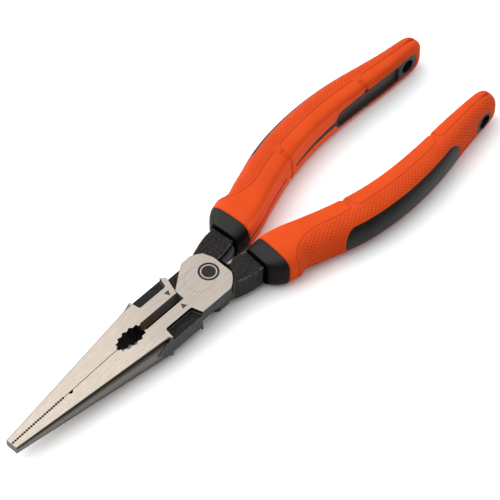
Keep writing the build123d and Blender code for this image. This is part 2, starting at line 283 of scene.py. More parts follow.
def tube_mesh(name, rings, attributes):
    """A closed mesh from rings of points in mm from the pivot, capped at both ends."""
    rows, count, _ = rings.shape
    points = rings.reshape(-1, 3)
    faces = []
    for row in range(rows - 1):
        here, behind = row * count, (row + 1) * count
        for k in range(count):
            after = (k + 1) % count
            faces.append((here + k, here + after, behind + after, behind + k))
    points = np.vstack([points, rings[0].mean(axis=0), rings[-1].mean(axis=0)])
    first, last = len(points) - 2, len(points) - 1
    for k in range(count):
        after = (k + 1) % count
        faces.append((after, k, first))
        faces.append(((rows - 1) * count + k, (rows - 1) * count + after, last))
    mesh = bpy.data.meshes.new(name)
    place = points * MM + np.array(PIVOT)
    mesh.from_pydata(place.tolist(), [], faces)
    for key, values in attributes.items():
        layer = mesh.attributes.new(key, "FLOAT", "POINT")
        with_ends = np.concatenate([values.reshape(-1), [values[0].mean(), values[-1].mean()]])
        layer.data.foreach_set("value", with_ends.astype(np.float32))
    mesh.polygons.foreach_set("use_smooth", [True] * len(mesh.polygons))
    piece = bpy.data.objects.new(name, mesh)
    bpy.context.scene.collection.objects.link(piece)
    return piece


def turned_over(piece, name):
    """The same piece for the other handle: turned half round about the tool's long axis."""
    twin = piece.copy()
    twin.data = piece.data.copy()
    twin.name = name
    twin.data.name = name
    lift = Matrix.Translation(PIVOT)
    twin.data.transform(lift @ Matrix.Rotation(math.pi, 4, "X") @ lift.inverted())
    bpy.context.scene.collection.objects.link(twin)
    return twin


def pad_corner(place, level, direction):
    """The round corner of a pad, from the zone line out to the split; direction is along the grip."""
    turns = np.radians(np.linspace(0, 90, CORNER_SAMPLES))
    return [
        (place + direction * PAD_CORNER * math.sin(turn), level - PAD_CORNER * (1 - math.cos(turn)))
        for turn in turns
    ]


def pad_paths():
    """The grooves round the smooth pads, on the unrolled grip: one path for each pad."""
    line = smooth_curve(ZONE_LINE)
    level = float(line(PAD_SPLITS[0][0]))
    starts = [None] + [rear for _, rear in PAD_SPLITS]
    ends = [front for front, _ in PAD_SPLITS] + [None]
    paths = []
    for start, end in zip(starts, ends):
        first = ZONE_LINE[0][0] if start is None else start + PAD_CORNER
        last = ZONE_LINE[-1][0] if end is None else end - PAD_CORNER
        path = [(x, float(line(x))) for x in np.linspace(first, last, ZONE_SAMPLES)]
        if start is not None:
            path = [(start, SPLIT_REACH)] + pad_corner(first, level, -1)[::-1] + path
        if end is not None:
            path += pad_corner(last, level, 1) + [(end, SPLIT_REACH)]
        paths.append(path)
    return paths


def inlay_gap(skin):
    """Signed distance to the nearest black inlay that comes to the surface: negative inside."""
    panel = np.where(skin.outer_side, rounded_gap(skin.x, skin.z, PANEL), ELSEWHERE)
    window = np.where(skin.outer_side, ELSEWHERE, rounded_gap(skin.x, skin.z, WINDOW))
    half = REAR_SEAM_HALF + REAR_SEAM_GAIN * smooth_step(skin.x, *REAR_SEAM_WIDENING)
    rear_seam = np.maximum(np.abs(skin.z) - half, REAR_SEAM_START - skin.x)
    rear_seam = np.maximum(rear_seam, skin.x - WINDOW[1])
    seams = np.minimum(rounded_gap(skin.x, skin.z, FRONT_SEAM), rear_seam)
    seams = np.where(skin.outer_side, ELSEWHERE, seams)
    stretch = np.where(skin.x < TETHER_X, TETHER_STRETCH, 1.0)
    lining = np.hypot((skin.x - TETHER_X) * stretch, skin.z) - TETHER_LINING
    return np.minimum.reduce([panel, window, seams, lining])


def pocket_share(skin):
    """1 in the window's sunk pocket, and 0 outside it."""
    gap = np.maximum(rounded_gap(skin.x, skin.z, POCKET_FRONT), rounded_gap(skin.x, skin.z, POCKET_REAR))
    gap = np.where(skin.outer_side, ELSEWHERE, gap)
    return 1 - smooth_step(gap, *POCKET_EDGE)


def groove_share(skin, notch):
    """1 in the bottom of the grooves round the pads, fading at the splits between them."""
    gap = np.minimum.reduce([path_gap(skin.x, skin.w, path) for path in pad_paths()])
    groove = np.exp(-((gap / (GROOVE_WIDTH * (1 + NOTCH_WIDENING * notch))) ** 2))
    for front, rear in PAD_SPLITS:
        groove *= 1 - bell(skin.x, (front + rear) / 2, *GROOVE_BREAK)
    return groove


def split_share(skin, zone):
    """1 in the gaps between the pads."""
    split = np.zeros_like(skin.x)
    for front, rear in PAD_SPLITS:
        opened = smooth_step(skin.x, front - SPLIT_EDGE, front + SPLIT_EDGE)
        closed = smooth_step(skin.x, rear - SPLIT_EDGE, rear + SPLIT_EDGE)
        split += opened * (1 - closed)
    return split * smooth_step(zone - skin.w, *SPLIT_TOP)


def grip_rows(start, step):
    """Places of the rings along a grip: even steps, then closer together round the end."""
    rows = list(np.arange(start, CAP_START, step))
    turns = np.linspace(0, math.pi / 2, CAP_ROWS)
    rows += [CAP_START + (GRIP_END - CAP_START) * math.sin(turn) for turn in turns[:-1]]
    rows.append(GRIP_END - CAP_OPENING)
    return rows


def make_cover():
    """The soft overmould, with the attributes that its material reads."""
    skin = Skin(grip_rows(COVER_START, COVER_STEP), GRIP_STATIONS, INNER_POWER, OUTER_POWER)
    zone = smooth_curve(ZONE_LINE)(skin.x)
    gap = inlay_gap(skin)
    notch = smooth_step(skin.x, *END_NOTCH)
    groove = groove_share(skin, notch)
    split = split_share(skin, zone)
    grain = smooth_step(skin.w - zone, *GRAIN_EDGE) * smooth_step(skin.x, *GRAIN_FRONT)
    front_lip = 1 - smooth_step(skin.x, COVER_START, FRONT_LIP_END)
    depth = -COVER_SINK * (1 - smooth_step(gap, *COVER_EDGE))
    depth -= POCKET_DEPTH * pocket_share(skin)
    depth -= GROOVE_DEPTH * (1 + NOTCH_DEEPENING * notch) * groove
    depth -= SPLIT_DEPTH * split
    depth -= GRAIN_DROP * grain
    depth -= FRONT_LIP_DROP * front_lip**2
    # Where the inner face gets a painted sheen
    inside = smooth_step(-skin.v, *INSIDE_REACH) * (1 - smooth_step(np.abs(skin.z), *INSIDE_HEIGHT))
    attributes = {
        "grain": grain * smooth_step(gap, *GRAIN_MARGIN),
        "girth": skin.w,
        "reach": skin.x,
        # The grooves and gaps, for the painted shade in them
        "groove_shade": np.minimum(groove + SPLIT_SHADE * split, 1),
        "inside": np.where(skin.outer_side, 0, inside),
    }
    return tube_mesh("grip_sleeve_a", skin.push(depth), attributes)


def collar_rings():
    """The collar's rings, after those of its front face."""
    places = list(np.arange(COLLAR_START, COLLAR_END, COLLAR_STEP))
    collar = Skin(places, COLLAR_STATIONS, COLLAR_POWER, COLLAR_POWER)
    rings = collar.push(np.zeros_like(collar.x))
    middle = np.stack([collar.x[0], collar.y[0] - collar.v[0], np.zeros(RING)], axis=-1)
    face = []
    for share, back in COLLAR_FACE:
        ring = rings[0] * share + middle * (1 - share)
        ring[:, 0] = rings[0][:, 0] - COLLAR_FACE_LEAD + back
        face.append(ring)
    return np.concatenate([np.array(face), rings])


def make_core():
    """The hard core: the collar, then what shows through the overmould."""
    ahead = collar_rings()
    skin = Skin(grip_rows(CORE_START, CORE_STEP), GRIP_STATIONS, INNER_POWER, OUTER_POWER)
    show = 1 - smooth_step(inlay_gap(skin), *CORE_EDGE)
    pocket = pocket_share(skin)
    depth = show * (CORE_SINK - INLAY_DROP) - CORE_SINK - POCKET_DEPTH * pocket
    rings = np.concatenate([ahead, skin.push(depth)])
    ring_number = np.arange(len(rings))[:, None] + np.zeros(RING)
    attributes = {
        "pocket": np.concatenate([np.zeros((len(ahead), RING)), pocket]),
        # Where the collar's front lip gets painted shade
        "lip_shade": 1 - smooth_step(ring_number, *LIP_SHADE_RINGS),
    }
    return tube_mesh("grip_spine_a", rings, attributes)


def drill(piece, radius):
    """The tether hole, through the piece across the handle."""
    bpy.ops.mesh.primitive_cylinder_add(vertices=DRILL_SIDES, radius=radius * MM, depth=DRILL_LENGTH * MM)
    tool = bpy.context.object
    tool.data.transform(Matrix.Rotation(math.pi / 2, 4, "X"))
    tool.location = PIVOT + Vector((TETHER_X, TETHER_Y, 0)) * MM
    cut = piece.modifiers.new("tether", "BOOLEAN")
    cut.operation = "DIFFERENCE"
    cut.solver = "EXACT"
    cut.object = tool
    with bpy.context.temp_override(object=piece, active_object=piece, selected_objects=[piece]):
        bpy.ops.object.modifier_apply(modifier=cut.name)
    bpy.data.objects.remove(tool)


# ---------------------------------------------------------------- node networks


class Net:
    """A node network, with short calls for the nodes it uses. A ramp is smooth, and a line is straight."""

    def __init__(self, owner):
        owner.use_nodes = True
        self.owner = owner
        self.tree = owner.node_tree
        self.shader = self.tree.nodes.get("Principled BSDF")

    def node(self, kind, **settings):
        made = self.tree.nodes.new(kind)
        for key, value in settings.items():
            setattr(made, key, value)
        return made

    def feed(self, socket, value):
        """Links a socket, or sets it. A colour is given as red, green and blue."""
        if isinstance(value, bpy.types.NodeSocket):
            self.tree.links.new(value, socket)
        elif socket.type == "RGBA":
            socket.default_value = (*value, 1.0)
        else:
            socket.default_value = value

    def shade(self, **inputs):
        """Feeds the shader's inputs, named with _ for each space in their names."""
        for name, value in inputs.items():
            self.feed(self.shader.inputs[name.replace("_", " ")], value)

    def math(self, operation, a, b=0.0, c=0.0):
        made = self.node("ShaderNodeMath", operation=operation)
        for socket, value in zip(made.inputs, (a, b, c)):
            self.feed(socket, value)
        return made.outputs[0]

    def product(self, first, *others):
        for other in others:
            first = self.math("MULTIPLY", first, other)
        return first

    def rest(self, share):
        """What is left of 1."""
        return self.math("SUBTRACT", 1.0, share)

    def absolute(self, value):
        return self.math("ABSOLUTE", value)

    def below(self, value, limit):
        return self.math("LESS_THAN", value, limit)

    def above(self, value, limit):
        return self.math("GREATER_THAN", value, limit)

    def near(self, value, middle, reach):
        """1 where the value is within reach of the middle."""
        return self.math("COMPARE", value, middle, reach)

    def radius(self, a, b):
        return self.math("SQRT", self.math("ADD", self.product(a, a), self.product(b, b)))

    def map_range(self, kind, value, low, high, start=0.0, end=1.0):
        made = self.node("ShaderNodeMapRange", interpolation_type=kind)
        for socket, item in zip(made.inputs, (value, low, high, start, end)):
            self.feed(socket, item)
        return made.outputs[0]

    def ramp(self, *values):
        return self.map_range("SMOOTHSTEP", *values)

    def line(self, *values):
        return self.map_range("LINEAR", *values)

    def mix(self, share, a, b):
        """A colour from a to b."""
        made = self.node("ShaderNodeMix", data_type="RGBA")
        self.feed(made.inputs["Factor"], share)
        self.feed(made.inputs[6], a)
        self.feed(made.inputs[7], b)
        return made.outputs[2]

    def blend(self, share, a, b):
        """A number from a to b."""
        made = self.node("ShaderNodeMix", data_type="FLOAT")
        self.feed(made.inputs[0], share)
        self.feed(made.inputs[2], a)
        self.feed(made.inputs[3], b)
        return made.outputs[0]

    def blend_vectors(self, share, a, b):
        made = self.node("ShaderNodeMix", data_type="VECTOR")
        self.feed(made.inputs[0], share)
        self.feed(made.inputs[4], a)
        self.feed(made.inputs[5], b)
        return made.outputs[1]

    def place(self, scale=(1, 1, 1)):
        """Place on the object, in mm from the pivot, stretched by scale."""
        here = self.node("ShaderNodeTexCoord").outputs["Object"]
        shift = self.node("ShaderNodeVectorMath", operation="SUBTRACT")
        self.feed(shift.inputs[0], here)
        shift.inputs[1].default_value = PIVOT
        stretch = self.node("ShaderNodeVectorMath", operation="MULTIPLY")
        self.feed(stretch.inputs[0], shift.outputs[0])
        stretch.inputs[1].default_value = [item / MM for item in scale]
        return stretch.outputs[0]

    def split(self, vector):
        made = self.node("ShaderNodeSeparateXYZ")
        self.feed(made.inputs[0], vector)
        return made.outputs

    def normal(self):
        return self.split(self.node("ShaderNodeNewGeometry").outputs["Normal"])

    def noise(self, vector, scale, detail=3.0, roughness=0.5):
        made = self.node("ShaderNodeTexNoise")
        self.feed(made.inputs["Vector"], vector)
        made.inputs["Scale"].default_value = scale
        made.inputs["Detail"].default_value = detail
        made.inputs["Roughness"].default_value = roughness
        return made.outputs["Fac"]

    def attribute(self, name):
        return self.node("ShaderNodeAttribute", attribute_name=name).outputs["Fac"]

    def bump(self, height, distance, strength=1.0, under=None):
        made = self.node("ShaderNodeBump")
        made.inputs["Strength"].default_value = strength
        made.inputs["Distance"].default_value = distance
        self.feed(made.inputs["Height"], height)
        if under is not None:
            self.feed(made.inputs["Normal"], under)
        return made.outputs[0]


# ---------------------------------------------------------------- grip materials

# Noises: scale, detail and roughness. Roughness ramps: noise from and to, roughness from and to
ORANGE_CLOUDS = (0.09, 2.0)
ORANGE_SPECKS = (1.4, 3.0)
ORANGE_PITS = (5.5, 2.0)
ORANGE_ROUGHNESS = (0.2, 0.8, 0.5, 0.64)
BLACK_CLOUDS = (0.16, 2.0)
BLACK_PITS = (1.9, 4.0, 0.65)
BLACK_ROUGHNESS = (0.25, 0.75, 0.36, 0.5)

ORANGE = (0.51, 0.047, 0.0025)
ORANGE_CLOUD = (0.54, 0.052, 0.003)
ORANGE_DUST = (0.6, 0.11, 0.03)
# Painted shade between the studs
ORANGE_STUD_SHADE = (0.33, 0.016, 0.002)
# The inner face's painted sheen
ORANGE_INSIDE_SHEEN = (0.84, 0.115, 0.03)
# Painted shade in the grooves and gaps
ORANGE_GROOVE_SHADE = (0.16, 0.009, 0.001)
CLOUD_EDGE = (0.35, 0.65)
DUST_EDGE = (0.62, 0.8)
DUST_SHARE = 0.1
STUD_PITCH = 0.84
STUD_SLANT = 1.15  # how steeply the rows of studs cross
STUD_TOP = 0.45  # the painted shade between the studs stops above this share of their height
STUD_SHADE = 0.42  # how dark the painted shade between the studs is
STUD_HEIGHT = 0.0002
STUD_STRENGTH = 0.9
INSIDE_SHEEN_SHARE = 0.75
GROOVE_SHADE_SHARE = 0.45
PIT_HEIGHT = 0.00003
PIT_STRENGTH = 0.35
ORANGE_SHINE = (-0.1, 0.7, 0.03, 0.12)  # the shine grows as the surface turns up

INLAY_BLACK = (0.0045, 0.0034, 0.003)
INLAY_CLOUD = (0.0078, 0.006, 0.0052)
INLAY_CLOUD_EDGE = (0.3, 0.7)
POCKET_GREY = (0.055, 0.044, 0.039)
# Painted shade along the pocket's edge and on the collar's front lip
EDGE_SHADE_BLACK = (0.001, 0.001, 0.001)
POCKET_RIM_SHADE_GAIN = 3.6  # makes the pocket's soft edge into a dark line of painted shade
SPARK_HEIGHT = 0.00016
SPARK_STRENGTH = 0.8
INLAY_SHINE = (45.0, 105.0, 0.11, 0.21)  # the shine grows from one place to the other
COLLAR_SHINE = (0.3, 0.98, 0.04, 0.21)  # the shine grows as the surface turns up


def soft_grip_material():
    """Orange thermoplastic rubber, finely pitted, with a diamond grain where the mask says, painted shade
    between the studs and in the grooves, and a painted sheen on the inner face.
    """
    net = Net(bpy.data.materials.new("soft_grip_orange"))
    cloud = net.noise(net.place(), *ORANGE_CLOUDS)
    dust = net.noise(net.place(), *ORANGE_SPECKS)
    tone = net.mix(net.ramp(cloud, *CLOUD_EDGE), ORANGE, ORANGE_CLOUD)
    tone = net.mix(net.ramp(dust, *DUST_EDGE, 0.0, DUST_SHARE), tone, ORANGE_DUST)
    grain = net.attribute("grain")
    girth = net.attribute("girth")
    reach = net.attribute("reach")
    rows = []
    for slant in (STUD_SLANT, -STUD_SLANT):
        across = net.math("MULTIPLY_ADD", girth, slant, reach)
        rows.append(net.absolute(net.math("SINE", net.product(across, math.pi / 2 / STUD_PITCH))))
    studs = net.product(rows[0], rows[1], grain)
    # Painted shade in the low ground between the studs; the stud tops stay unshaded
    shade = net.product(net.math("SUBTRACT", grain, net.ramp(studs, 0.0, STUD_TOP)), STUD_SHADE)
    tone = net.mix(net.math("MAXIMUM", shade, 0.0), tone, ORANGE_STUD_SHADE)
    # Painted sheen: the smooth inner face paler, for the reflection it catches
    tone = net.mix(net.product(net.attribute("inside"), INSIDE_SHEEN_SHARE), tone, ORANGE_INSIDE_SHEEN)
    # Painted shade in the grooves round the pads and in the gaps between them
    tone = net.mix(net.product(net.attribute("groove_shade"), GROOVE_SHADE_SHARE), tone, ORANGE_GROOVE_SHADE)
    pits = net.noise(net.place(), *ORANGE_PITS)
    pitted = net.bump(pits, PIT_HEIGHT, PIT_STRENGTH)
    net.shade(
        Base_Color=tone,
        Roughness=net.ramp(pits, *ORANGE_ROUGHNESS),
        Normal=net.bump(studs, STUD_HEIGHT, STUD_STRENGTH, pitted),
        Specular_IOR_Level=net.ramp(net.normal()[2], *ORANGE_SHINE),
    )
    return net.owner


def hard_grip_material():
    """Satin black nylon with a spark-eroded surface, greyer in the pocket, with painted shade along the
    pocket's edge and on the collar's front lip.
    """
    net = Net(bpy.data.materials.new("hard_grip_black"))
    pits = net.noise(net.place(), *BLACK_PITS)
    cloud = net.noise(net.place(), *BLACK_CLOUDS)
    pocket = net.attribute("pocket")
    lip_shade = net.attribute("lip_shade")
    tone = net.mix(net.ramp(cloud, *INLAY_CLOUD_EDGE), INLAY_BLACK, INLAY_CLOUD)
    tone = net.mix(pocket, tone, POCKET_GREY)
    # Painted shade: a dark line along the pocket's soft edge, and the collar's front lip darkened
    rim = net.product(pocket, net.rest(pocket), POCKET_RIM_SHADE_GAIN)
    tone = net.mix(net.math("MAXIMUM", rim, lip_shade), tone, EDGE_SHADE_BLACK)
    behind = net.split(net.place())[0]
    inlay_shine = net.ramp(behind, *INLAY_SHINE)
    collar_shine = net.ramp(net.normal()[2], *COLLAR_SHINE)
    shine = net.blend(net.below(behind, CORE_START), inlay_shine, collar_shine)
    net.shade(
        Base_Color=tone,
        Roughness=net.ramp(pits, *BLACK_ROUGHNESS),
        Normal=net.bump(pits, SPARK_HEIGHT, SPARK_STRENGTH),
        Specular_IOR_Level=net.product(shine, net.rest(lip_shade)),
    )
    return net.owner


# ---------------------------------------------------------------- steel, in mm from the pivot

TIP_X = -89.0
TIP_FACE = (-88.8, -88.95)  # the blunt end's tone comes in between these places
ROOT_X = -26.5  # the nose slopes down from here to the tip
SLOPED_X = -27.0  # the faces ahead of this are on the slope
NOSE_HALF_THICK = (1.7, HEAD_HALF)  # at the tip and at the root
NOSE_HALF_WIDTH = (2.3, 9.2)
SLOPE_EASE = 9.0  # the change of slope is rounded over this much to each side
SLOPE_EASE_GAIN = -0.0016  # height for each square mm from the end of that stretch

# Noises: scale, detail and roughness. Stretches are along, across and up
FORGED_SKIN = (1.25, 5.0, 0.75)
FORGED_LUMPS = (0.55, 3.0, 0.55)
BRUSH = (1.0, 5.0, 0.65)
BRUSH_STRETCH = (0.05, 5.0, 5.0)
FINE_BRUSH = (1.0, 3.0, 0.6)
FINE_BRUSH_STRETCH = (0.15, 14.0, 14.0)
BRUSH_EDGE = (0.3, 0.7)
FORGED_EDGE = (0.42, 0.68)
GROUND_ROUGHNESS = (0.25, 0.75, 0.34, 0.48)
FORGED_ROUGHNESS = (0.3, 0.8, 0.48, 0.7)

# Where the grinder reached
FLAT_FACING = (0.9, 0.97)
FACE_LEVEL = (HEAD_HALF - 0.06, HEAD_HALF - 0.03)
FLANK_V_APEX = -30.0  # the ground nose ends in a V on the flank, which runs back from here
FLANK_V_RUN = 6.5
FLANK_V_WANDER = 0.5
FLANK_V_NOISE = (0.5, 2.0)
FLANK_V_EDGE = 0.35
PIPE_FRONT_X = -40.3
PIPE_FRONT_EDGE = (PIPE_FRONT_X - 0.1, PIPE_FRONT_X + 0.1)
PIPE_WALL = 3.8  # the pipe grip's walls, which stay black, lie within this of the parting plane
SLOT_WALL = (1.9, 2.1)  # and the cutter's within this
SEAT_RADIUS = 5.4  # of the rivet's seat
SEAT_FLOOR = 3.9

# Ground steel: a pair of tones is the dark and the light of the brush marks
PLATE_TONES = ((0.27, 0.236, 0.205), (0.388, 0.345, 0.306))
NOSE_TONES = ((0.295, 0.255, 0.217), (0.4, 0.35, 0.301))
PLATE_TO_NOSE = (-14.0, -45.0)
SIDE_TONES = ((0.115, 0.107, 0.092), (0.17, 0.16, 0.14))
SIDE_TOP = (0.01, 0.0082, 0.0062)
SIDE_TOP_FADE = (0.14, 0.85)  # as shares of the way down the side
TIP_TONE = (0.075, 0.07, 0.06)
BORDER_TONE = (0.09, 0.082, 0.07)
BORDER_EDGE = (0.34, 0.16)  # the darker edge of the nose's faces: how far in from the side
BORDER_REAR_X = -24.0
BORDER_SHARE = 0.75
PARTING_TONE = (0.03, 0.02, 0.013)
PARTING_EDGE = (0.17, 0.11)  # the dark line where the jaws meet
PARTING_REAR_X = -27.2
PARTING_SHARE = 0.85

# The plain dark disc on the upper plate
SPOT_X = 4.5
SPOT_EDGE = (3.85, 3.7)
SPOT_RING = 2.75
SPOT_RING_EDGE = (0.16, 0.3)
SPOT_TONE = (0.014, 0.012, 0.011)

# Black forged skin
FORGED_TONES = ((0.0025, 0.0021, 0.0018), (0.03, 0.0265, 0.024))
FLANK_TONE = (0.046, 0.0455, 0.045)
FLANK_FACING = (0.8, 0.9)
FLANK_REAR_X = 7.3
FLANK_EDGE = (8.4, 8.8)
WEB_TONE = (0.03, 0.032, 0.034)
WEB_BAND = (3.0, 0.08)
WEB_FRONT_X = 11.0
RIM_FACING = ((0.25, 0.5), (0.97, 0.8))  # rounded edges face between flat and upright
WORN_TONE = (0.14, 0.135, 0.125)
WORN_HEIGHT = (3.9, 4.2)
WORN_FRONT_X = 2.0
WORN_EDGE = (0.42, 0.6)
WORN_SHARE = 0.8
CORNER_TONE = (0.24, 0.235, 0.225)
CORNER_MIDDLE = (12.4, 1.7)  # the bared corner of the neck: a diamond of this middle and half size
CORNER_HALF = (2.6, 1.3)
CORNER_EDGE = (1.3, 0.95)
CORNER_RAGGED = 0.5
CORNER_HEIGHT = (4.0, 4.3)

# The recesses beside the cutter, the cutter's bevels and the pointers: middle and half length
RECESS = (-16.2, 8.2)
RECESS_SIDE = (5.9, 6.0)
RECESS_WALL_FACING = (0.6, 0.3)
# Painted shade on the recess walls, and a painted highlight on the rounded rim at their foot
RECESS_WALL_SHADE = (0.0025, 0.0022, 0.002)
RECESS_RIM_HIGHLIGHT = (0.095, 0.088, 0.082)
RECESS_RIM_HIGHLIGHT_SHARE = 0.9
CUTTER = (-18.2, 9.1)
CUTTER_HALF_WIDTH = 1.8
CUTTER_TONES = ((0.085, 0.085, 0.078), (0.12, 0.075, 0.045))  # rear and front
CUTTER_FADE = (-17.0, -23.0)
# Painted shade deep in the cutter's slot
CUTTER_DEEP_SHADE = (0.014, 0.0115, 0.009)
CUTTER_DEEP = (2.0, 1.85)
FACET_TONE = (0.19, 0.175, 0.155)
FACET_BAND = (2.25, 0.16)
FACET_SHARE = 0.8
POINTER_TONE = (0.06, 0.05, 0.043)
POINTER = (-11.6, 1.3)
POINTER_SIDE = (3.4, 1.3)
POINTER_LEVEL = (HEAD_HALF - 0.3, HEAD_HALF - 0.2)

LUMP_HEIGHT = 0.0003
LUMP_STRENGTH = 0.4
FORGED_HEIGHT = 0.00032
FORGED_STRENGTH = 0.9
BRUSH_HEIGHT = 0.00002
BRUSH_STRENGTH = 0.5
FORGED_METALLIC = 0.25
STEEL_SPECULAR = 0.18


class SteelNet(Net):
    """Ground faces, and black forged skin everywhere that the grinder doesn't reach."""

    def __init__(self):
        super().__init__(bpy.data.materials.new("forged_and_ground_steel"))
        self.here = self.place()
        self.x, self.y, self.z = self.split(self.here)
        _, facing_y, facing_z = self.normal()
        self.face_up = self.absolute(facing_z)
        self.height = self.absolute(self.z)
        self.side = self.absolute(self.y)
        self.local_half = self.line(self.x, TIP_X, ROOT_X, *NOSE_HALF_THICK)
        self.flat = self.ramp(self.face_up, *FLAT_FACING)
        self.skin = self.noise(self.here, *FORGED_SKIN)
        self.brush = self.noise(self.place(BRUSH_STRETCH), *BRUSH)
        self.fine_brush = self.noise(self.place(FINE_BRUSH_STRETCH), *FINE_BRUSH)
        self.rim = self.product(*(self.ramp(self.face_up, *edge) for edge in RIM_FACING))
        facing_side = self.ramp(self.absolute(facing_y), *FLANK_FACING)
        outside = self.ramp(self.side, *FLANK_EDGE)
        self.flank = self.product(facing_side, self.below(self.x, FLANK_REAR_X), outside)

    def face(self):
        """The flat faces of the head and the nose."""
        level = self.math("MAXIMUM", self.ramp(self.height, *FACE_LEVEL), self.below(self.x, SLOPED_X))
        return self.product(self.flat, level)

    def round_side(self):
        """The sides of the nose in front of the V, but not the walls of the pipe grip and the cutter."""
        v_line = self.math("MULTIPLY_ADD", self.height, FLANK_V_RUN / HEAD_HALF, FLANK_V_APEX)
        wander = self.product(self.noise(self.here, *FLANK_V_NOISE), FLANK_V_WANDER)
        ahead = self.math("SUBTRACT", self.math("ADD", v_line, wander), self.x)
        ahead = self.ramp(ahead, 0.0, FLANK_V_EDGE)
        pipe = self.product(self.ramp(self.x, *PIPE_FRONT_EDGE), self.below(self.side, PIPE_WALL))
        past_slot = self.math("MAXIMUM", self.ramp(self.side, *SLOT_WALL), self.below(self.x, PIPE_FRONT_X))
        return self.product(ahead, self.rest(pipe), past_slot)

    def rivet_seat(self):
        """The narrow gap round the rivet's head."""
        inside = self.below(self.radius(self.x, self.y), SEAT_RADIUS)
        return self.product(inside, self.above(self.height, SEAT_FLOOR))

    def brushed(self, tones):
        return self.mix(self.ramp(self.brush, *BRUSH_EDGE), *tones)

    def ground_tone(self, round_side):
        towards_nose = self.ramp(self.x, *PLATE_TO_NOSE)
        tone = self.mix(towards_nose, self.brushed(PLATE_TONES), self.brushed(NOSE_TONES))
        down = self.math("SUBTRACT", self.local_half, self.height)
        down = self.math("DIVIDE", down, self.local_half)
        side_tone = self.mix(self.ramp(down, *SIDE_TOP_FADE), SIDE_TOP, self.brushed(SIDE_TONES))
        side_tone = self.mix(self.ramp(self.x, *TIP_FACE), side_tone, TIP_TONE)
        tone = self.mix(self.product(round_side, self.rest(self.flat)), tone, side_tone)
        local_width = self.line(self.x, TIP_X, ROOT_X, *NOSE_HALF_WIDTH)
        border = self.ramp(self.math("SUBTRACT", local_width, self.side), *BORDER_EDGE)
        border = self.product(border, self.below(self.x, BORDER_REAR_X), self.flat, BORDER_SHARE)
        tone = self.mix(border, tone, BORDER_TONE)
        parting = self.product(self.ramp(self.side, *PARTING_EDGE), self.below(self.x, PARTING_REAR_X))
        return self.mix(self.product(parting, PARTING_SHARE), tone, PARTING_TONE)

    def spot(self, face):
        """The plain dark disc, with a bare ring in it."""
        out = self.radius(self.math("SUBTRACT", self.x, SPOT_X), self.y)
        off_ring = self.ramp(self.absolute(self.math("SUBTRACT", out, SPOT_RING)), *SPOT_RING_EDGE)
        return self.product(self.ramp(out, *SPOT_EDGE), self.above(self.z, 0.0), off_ring, face)

    def bared_corner(self):
        """The worn corner of each neck, beside the other half's plate."""
        offsets = []
        for value, middle, half in zip((self.x, self.side), CORNER_MIDDLE, CORNER_HALF):
            offsets.append(self.math("DIVIDE", self.absolute(self.math("SUBTRACT", value, middle)), half))
        off = self.math("ADD", self.math("ADD", *offsets), self.product(self.skin, CORNER_RAGGED))
        diamond = self.ramp(off, *CORNER_EDGE)
        beside_plate = self.below(self.product(self.y, self.z), 0.0)
        return self.product(diamond, self.ramp(self.height, *CORNER_HEIGHT), beside_plate)

    def forged_tone(self):
        tone = self.mix(self.ramp(self.skin, *FORGED_EDGE), *FORGED_TONES)
        tone = self.mix(self.flank, tone, FLANK_TONE)
        web = self.product(self.near(self.height, *WEB_BAND), self.above(self.x, WEB_FRONT_X))
        tone = self.mix(web, tone, WEB_TONE)
        worn = self.product(self.ramp(self.height, *WORN_HEIGHT), self.above(self.x, WORN_FRONT_X))
        worn = self.product(worn, self.rim, self.ramp(self.skin, *WORN_EDGE), WORN_SHARE)
        tone = self.mix(worn, tone, WORN_TONE)
        return self.mix(self.bared_corner(), tone, CORNER_TONE)

    def cutter_tone(self, tone):
        """The forged tone, with the recesses (painted shade on their walls and a painted highlight on their
        rims), the cutter's bevels (painted shade deep in the slot) and the pointers on it.
        """
        recess = self.product(self.ramp(self.side, *RECESS_SIDE), self.near(self.x, *RECESS))
        recess = self.product(recess, self.rest(self.flank))
        # Painted shade on the recess walls, and a painted highlight on the rounded rim at their foot
        wall_shade = self.product(recess, self.ramp(self.face_up, *RECESS_WALL_FACING))
        tone = self.mix(wall_shade, tone, RECESS_WALL_SHADE)
        tone = self.mix(self.product(recess, self.rim, RECESS_RIM_HIGHLIGHT_SHARE), tone, RECESS_RIM_HIGHLIGHT)
        cutter = self.product(self.below(self.side, CUTTER_HALF_WIDTH), self.near(self.x, *CUTTER))
        tone = self.mix(cutter, tone, self.mix(self.ramp(self.x, *CUTTER_FADE), *CUTTER_TONES))
        # Painted shade deep in the cutter's slot
        tone = self.mix(self.product(cutter, self.ramp(self.height, *CUTTER_DEEP)), tone, CUTTER_DEEP_SHADE)
        facet = self.product(cutter, self.near(self.height, *FACET_BAND), FACET_SHARE)
        tone = self.mix(facet, tone, FACET_TONE)
        pointer = self.product(self.near(self.x, *POINTER), self.near(self.side, *POINTER_SIDE))
        pointer = self.product(pointer, self.ramp(self.height, *POINTER_LEVEL))
        return self.mix(pointer, tone, POINTER_TONE)

    def forged_normal(self):
        lumps = self.bump(self.noise(self.here, *FORGED_LUMPS), LUMP_HEIGHT, LUMP_STRENGTH)
        return self.bump(self.skin, FORGED_HEIGHT, FORGED_STRENGTH, lumps)

    def ground_normal(self):
        """Brush marks, and a rounded change of slope at the root of the nose."""
        off = self.absolute(self.math("SUBTRACT", self.x, ROOT_X))
        run = self.math("MAXIMUM", self.math("SUBTRACT", SLOPE_EASE, off), 0.0)
        ease = self.product(run, run, SLOPE_EASE_GAIN)
        return self.bump(self.fine_brush, BRUSH_HEIGHT, BRUSH_STRENGTH, self.bump(ease, MM))

